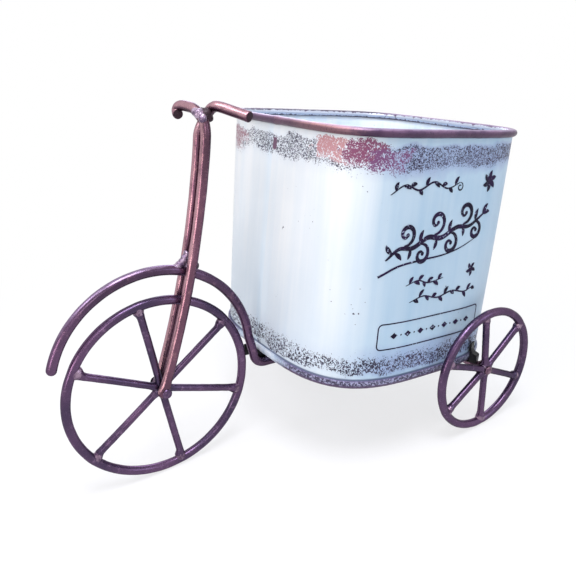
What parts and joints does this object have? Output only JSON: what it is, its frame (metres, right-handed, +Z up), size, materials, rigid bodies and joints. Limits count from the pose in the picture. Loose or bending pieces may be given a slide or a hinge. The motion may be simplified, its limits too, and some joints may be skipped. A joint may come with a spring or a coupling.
{
  "type": "tricycle planter",
  "caption": "Tricycle planter: a round-cornered bucket that leans back on a rod frame with a large front wheel, fork, mudguard and small rear wheels.",
  "frame": {"origin": "on the floor, under the middle of the whole object", "axes": "-X towards the front wheel, -Y towards the printed side, +Z up"},
  "size_m": [0.2927, 0.1742, 0.2173],
  "materials": {
    "plum_metal": "hammered satin",
    "dark_steel": "satin",
    "bucket_enamel": "satin",
    "black_sheet": "satin"
  },
  "bodies": {
    "frame": {"spine_rod": "dark_steel", "fork_rod_left": "plum_metal", "fork_rod_right": "plum_metal", "handlebar_weld": "plum_metal", "fender_weld": "plum_metal", "front_axle_pin": "dark_steel", "rear_axle": "dark_steel", "rear_left_washer": "dark_steel", "rear_right_washer": "dark_steel", "front_bracket": "black_sheet", "rear_left_bracket": "black_sheet", "rear_right_bracket": "black_sheet", "bucket_wall": "bucket_enamel", "bucket_rim": "plum_metal", "bucket_floor_pan": "bucket_enamel"},
    "front_wheel": {"front_wheel_ring": "plum_metal", "front_wheel_hub": "plum_metal", "front_wheel_spoke_1": "plum_metal", "front_wheel_spoke_2": "plum_metal", "front_wheel_spoke_3": "plum_metal", "front_wheel_spoke_4": "plum_metal", "front_wheel_spoke_5": "plum_metal", "front_wheel_spoke_6": "plum_metal"},
    "rear_left_wheel": {"rear_left_wheel_ring": "plum_metal", "rear_left_wheel_hub": "plum_metal", "rear_left_wheel_spoke_1": "plum_metal", "rear_left_wheel_spoke_2": "plum_metal", "rear_left_wheel_spoke_3": "plum_metal", "rear_left_wheel_spoke_4": "plum_metal", "rear_left_wheel_spoke_5": "plum_metal", "rear_left_wheel_spoke_6": "plum_metal"},
    "rear_right_wheel": {"rear_right_wheel_ring": "plum_metal", "rear_right_wheel_hub": "plum_metal", "rear_right_wheel_spoke_1": "plum_metal", "rear_right_wheel_spoke_2": "plum_metal", "rear_right_wheel_spoke_3": "plum_metal", "rear_right_wheel_spoke_4": "plum_metal", "rear_right_wheel_spoke_5": "plum_metal", "rear_right_wheel_spoke_6": "plum_metal"}
  },
  "joints": [
    {"name": "front_wheel_spin", "type": "hinge", "parent": "frame", "child": "front_wheel", "pos_m": [-0.0862, 0, 0.05776], "axis": [0, 1, 0], "continuous": true},
    {"name": "rear_left_wheel_spin", "type": "hinge", "parent": "frame", "child": "rear_left_wheel", "pos_m": [0.1036, -0.083, 0.04276], "axis": [0, 1, 0], "continuous": true},
    {"name": "rear_right_wheel_spin", "type": "hinge", "parent": "frame", "child": "rear_right_wheel", "pos_m": [0.1036, 0.083, 0.04276], "axis": [0, 1, 0], "continuous": true}
  ]
}
